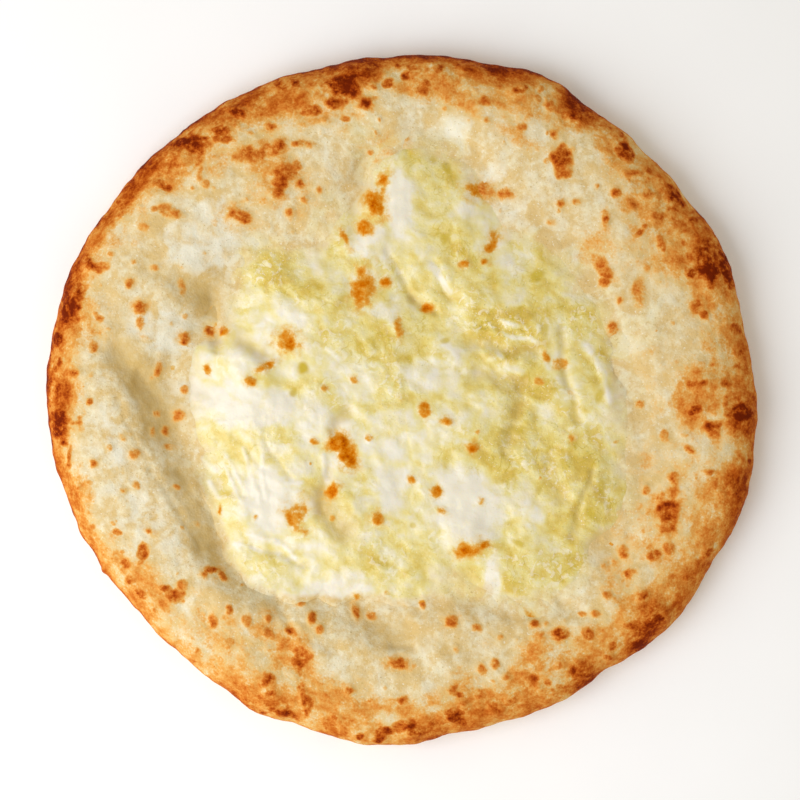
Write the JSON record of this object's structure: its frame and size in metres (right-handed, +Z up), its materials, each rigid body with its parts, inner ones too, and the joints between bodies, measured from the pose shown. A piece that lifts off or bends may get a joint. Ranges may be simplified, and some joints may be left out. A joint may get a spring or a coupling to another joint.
{
  "type": "cheese bread",
  "caption": "Round flat cheese bread with a puffed, blistered rim and a sheet of melted, browned cheese over its low middle.",
  "frame": {"origin": "on the flat underside, below the middle of the loaf's width and depth", "axes": "+Z up, out of the cheese-covered top; +X to the right and +Y to the top of the bread as it is looked down on"},
  "size_m": [0.301, 0.293, 0.0217],
  "materials": {
    "baked_dough": "oven-baked wheat dough, cream to gold with dark brown blisters, matt",
    "melted_cheese": "melted curd cheese, milky white to butter yellow with browned spots, softly glossy"
  },
  "bodies": {
    "root": {"loaf": "baked_dough", "cheese": "melted_cheese"}
  },
  "joints": []
}
